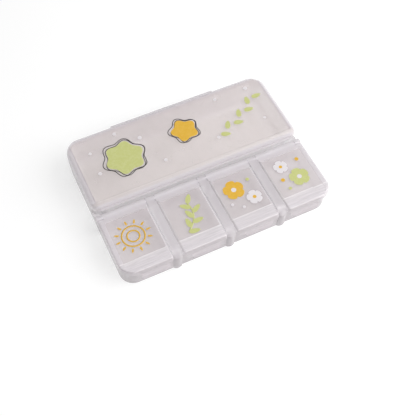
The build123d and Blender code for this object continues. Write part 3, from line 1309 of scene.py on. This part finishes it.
@dataclass
class RearLid(PrintedLid):
    """The full-length lid: two outlined blossoms, a row of leaves and scattered dots.

    Attributes:
        node: name of the lid's solid and body.
        large: the green blossom.
        small: the amber blossom.
        outlines: the shift and growth of each loose outline.
        outline_width: width of these outlines in metres.
        stem: start, bend and end of the row of leaves.
        leaf_room: the middle of what the dots leave free around the leaves.
    """

    node: str = "rear_lid"
    large: LooseBlossom = LooseBlossom((-25.0 * MM, 15.0 * MM), 7.6 * MM, 6, 0.1, 0.2)
    small: LooseBlossom = LooseBlossom((3.0 * MM, 17.5 * MM), 5.2 * MM, 5, 0.13, 0.5)
    outlines: tuple[Spot, ...] = ((0.4, 1.09), (-0.3, 1.15))
    outline_width: float = 0.34 * MM
    stem: tuple[Spot, ...] = ((16 * MM, 9 * MM), (28 * MM, 13 * MM), (37 * MM, 21.5 * MM))
    leaf_room: Spot = (28 * MM, 15.5 * MM)

    def build(self) -> None:
        """Print the panel."""
        tones = (InkTone.GREEN, InkTone.AMBER, InkTone.WHITE, InkTone.LINE)
        green, amber, white, dark = map(self.sheet, tones)
        green.plate(self.large.outline())
        amber.plate(self.small.outline())
        for blossom in (self.large, self.small):
            for shift, grow in self.outlines:
                self.line(dark, blossom.outline(shift, grow), True, self.outline_width)
        leaf = {"Length": 4.2 * MM, "Width": 2.2 * MM, "Taper": -0.25, "Splay": 0.7}
        self.leaf_row(green, self.stem, leaf)
        kept_clear = (self.large.centre, self.small.centre, self.leaf_room)
        white.grow(
            self.trees.dots,
            {
                "Field": (78 * MM, 26 * MM, 0),
                "Centre": white.at((0, 15.5 * MM)),
                "Spacing": 9.5 * MM,
                "Seed": 11,
                "Radius": 0.78 * MM,
                **dict(zip(CLEAR, map(white.at, kept_clear))),
                "Room": 10.5 * MM,
            },
        )
        self.finish(self.finishes.rear_lid)


class CupPrint(Enum):
    """What is printed on each front lid."""

    SUN = 1
    SPRIG = 2
    AMBER_BLOSSOM = 3
    GREEN_BLOSSOM = 4


@dataclass
class FrontLid(PrintedLid):
    """The lid of one front cup.

    Attributes:
        motif: what is printed on it.
        recess: how far its window is sunk, in metres.
        front_margin: depth of the rail and the lift tab in front of the window, in metres.
        rear_margin: depth of the hinge barrel and the ledge behind the window, in metres.
        heart_rise: how far a blossom's heart is printed above its petals, in metres.
    """

    motif: CupPrint = CupPrint.SUN
    recess: float = 0.4 * MM
    front_margin: float = 6.8 * MM
    rear_margin: float = 5.1 * MM
    heart_rise: float = 0.02 * MM

    def middle(self) -> Spot:
        """Return the middle of the sunk window, between the hinge and the front rail."""
        low, high = self.panel()
        return ((low.x + high.x) / 2, (low.y + self.front_margin + high.y - self.rear_margin) / 2)

    def build(self) -> None:
        """Print the panel."""
        draw: dict[CupPrint, Callable[[], None]] = {
            CupPrint.SUN: self.sun,
            CupPrint.SPRIG: self.sprig,
            CupPrint.AMBER_BLOSSOM: self.amber_blossom,
            CupPrint.GREEN_BLOSSOM: self.green_blossom,
        }
        draw[self.motif]()
        self.finish(self.finishes.front_lid)

    def sun(self) -> None:
        """Draw two rings and a wreath of rays in amber."""
        ink = self.sheet(InkTone.AMBER)
        centre = self.middle()
        for radius in (4.6 * MM, 2.5 * MM):
            self.line(ink, circle(centre, radius), True, self.stroke_width)
        rays = {"Ring": 5.6 * MM, "Length": 2.0 * MM, "Width": 0.75 * MM, "Taper": -0.3, "Turn": 0.1}
        ink.grow(self.trees.ring, {"Count": 12, "Centre": ink.at(centre), **rays})

    def sprig(self) -> None:
        """Draw a bent stem with leaves in green."""
        ink = self.sheet(InkTone.GREEN)
        x, y = self.middle()
        stem = (
            (x - 3.6 * MM, y - 7.6 * MM),
            (x + 3.4 * MM, y - 2.0 * MM),
            (x + 1.2 * MM, y + 4.6 * MM),
        )
        leaf = {"Length": 4.6 * MM, "Width": 2.1 * MM, "Taper": -0.2, "Splay": 0.85}
        self.leaf_row(ink, stem, leaf)
        start, bend, end = (Vector(spot) for spot in stem)
        spots = []
        for step in range(STEM_STEPS + 1):
            t = step / STEM_STEPS
            spot = start * (1 - t) ** 2 + bend * 2 * t * (1 - t) + end * t ** 2
            spots.append((spot.x, spot.y))
        self.line(ink, spots, False, self.stroke_width)

    def blossom(self, tone: InkTone, centre: Spot, reach: float) -> None:
        """Print a filled five-petal blossom with a round heart.

        Args:
            tone: its ink.
            centre: its middle.
            reach: its radius.
        """
        ink = self.sheet(tone)
        sizes = {"Ring": reach * 0.16, "Length": reach * 0.86, "Width": reach * 0.9}
        petals = {"Count": 5, **sizes, "Taper": 0.3, "Turn": 0.35}
        ink.grow(self.trees.ring, {"Centre": ink.at(centre), **petals})
        heart = InkTone.AMBER if tone is InkTone.WHITE else InkTone.WHITE
        self.sheet(heart).plate(circle(centre, reach * 0.24, SMALL_CORNERS), self.heart_rise)

    def dots(self, tone: InkTone, spots: list[Spot], radius: float) -> None:
        """Print round dots.

        Args:
            tone: their ink.
            spots: their middles, from the middle of the panel, in millimetres.
            radius: their radius.
        """
        x, y = self.middle()
        for dx, dy in spots:
            centre = (x + dx * MM, y + dy * MM)
            self.sheet(tone).plate(circle(centre, radius, SMALL_CORNERS))

    def amber_blossom(self) -> None:
        """Print an amber and a white blossom with dots."""
        x, y = self.middle()
        self.blossom(InkTone.AMBER, (x - 2.0 * MM, y + 2.6 * MM), 4.4 * MM)
        self.blossom(InkTone.WHITE, (x + 4.2 * MM, y - 3.8 * MM), 3.2 * MM)
        self.dots(InkTone.GREEN, [(5.4, 5.0)], 0.75 * MM)
        self.dots(InkTone.WHITE, [(-5.6, -3.6), (-1.8, -6.4)], 0.65 * MM)

    def green_blossom(self) -> None:
        """Print a green and a white blossom with dots."""
        x, y = self.middle()
        self.blossom(InkTone.GREEN, (x + 1.4 * MM, y - 2.8 * MM), 4.2 * MM)
        self.blossom(InkTone.WHITE, (x - 3.4 * MM, y + 4.6 * MM), 3.0 * MM)
        self.dots(InkTone.AMBER, [(4.6, 5.4), (-5.6, -1.6)], 0.85 * MM)
        self.dots(InkTone.GREEN, [(-4.8, -6.4)], 0.7 * MM)


@dataclass
class Studio:
    """Floor, light and camera.

    Attributes:
        turn: how far the camera stands to the left of the front, in degrees.
        rise: how high it looks down from, in degrees.
        distance: how far it stands from what it looks at.
        aim: what it looks at.
        lens: focal length in millimetres on a square sensor of SENSOR.
        shift: how far the picture is moved on the sensor.
        sky: strength of the even light from all round.
        lamp_place: where the lamp hangs, in metres.
        lamp_size: side of the lamp's square face in metres.
        lamp_watts: power of the lamp.
        floor_half: half the side of the floor in metres.
        floor_gap: how far the floor lies below the case, so that no two faces share a plane.
    """

    turn: float = -25.17
    rise: float = 56.06
    distance: float = 325.1 * MM
    aim: tuple[float, float, float] = (0.0, -0.83 * MM, 0.0)
    lens: float = 66.2
    shift: Spot = (0.0278, -0.0523)
    sky: float = 0.52
    lamp_place: tuple[float, float, float] = (0.5, -0.3, 0.55)
    lamp_size: float = 0.7
    lamp_watts: float = 6.0
    floor_half: float = 3.0
    floor_gap: float = 0.05 * MM

    def camera(self) -> None:
        """Set up the camera."""
        data = bpy.data.cameras.new("camera")
        data.lens = self.lens
        data.sensor_width = SENSOR
        data.shift_x, data.shift_y = self.shift
        data.clip_start = 0.01
        data.clip_end = 50.0
        holder = stand("camera", data)
        side, high = math.radians(self.turn), math.radians(self.rise)
        away = Vector((math.sin(side) * math.cos(high), -math.cos(side) * math.cos(high), math.sin(high)))
        holder.location = Vector(self.aim) + away * self.distance
        holder.rotation_euler = away.to_track_quat("Z", "Y").to_euler()
        bpy.context.scene.camera = holder

    def floor(self) -> None:
        """Lay a wide plain floor under the case."""
        shape = bmesh.new()
        bmesh.ops.create_grid(shape, x_segments=8, y_segments=8, size=self.floor_half)
        bmesh.ops.translate(shape, verts=shape.verts, vec=(0, 0, -self.floor_gap))
        mesh = bpy.data.meshes.new("floor")
        shape.to_mesh(mesh)
        shape.free()
        mesh.materials.append(StudioWhite().material())
        stand("floor", mesh)

    def lamp(self) -> None:
        """Hang a soft lamp that looks at the case."""
        data = bpy.data.lights.new("soft_top", "AREA")
        data.shape = "SQUARE"
        data.size = self.lamp_size
        data.energy = self.lamp_watts
        holder = stand("soft_top", data)
        holder.location = self.lamp_place
        holder.rotation_euler = Vector(self.lamp_place).to_track_quat("Z", "Y").to_euler()

    def world(self) -> None:
        """Light everything evenly, and show white behind it."""
        world = bpy.data.worlds.new("studio")
        world.use_nodes = True
        bpy.context.scene.world = world
        bench = Bench(world.node_tree)
        strength = self.sky + bench.rays("Camera", "Glossy", "Transmission") * (1.0 - self.sky)
        glow = bench.node("ShaderNodeBackground", None, {"Color": (1, 1, 1, 1), "Strength": strength})
        bench.node("ShaderNodeOutputWorld", None, {"Surface": glow.outputs[0]})

    def build(self) -> None:
        """Set up the whole studio."""
        self.floor()
        self.world()
        self.lamp()
        self.camera()
        bpy.context.scene.view_settings.view_transform = "Standard"


def main() -> None:
    """Build every sub-assembly in order."""
    logging.basicConfig(level=logging.INFO, format="%(name)s: %(message)s")
    finishes = Finishes.mixed()
    trees = MotifTrees()
    Tray().build(finishes)
    RearLid(finishes, trees).build()
    for motif in CupPrint:
        FrontLid(finishes, trees, f"front_lid_{motif.value}", motif=motif).build()
    Studio().build()


if __name__ == "__main__":
    main()
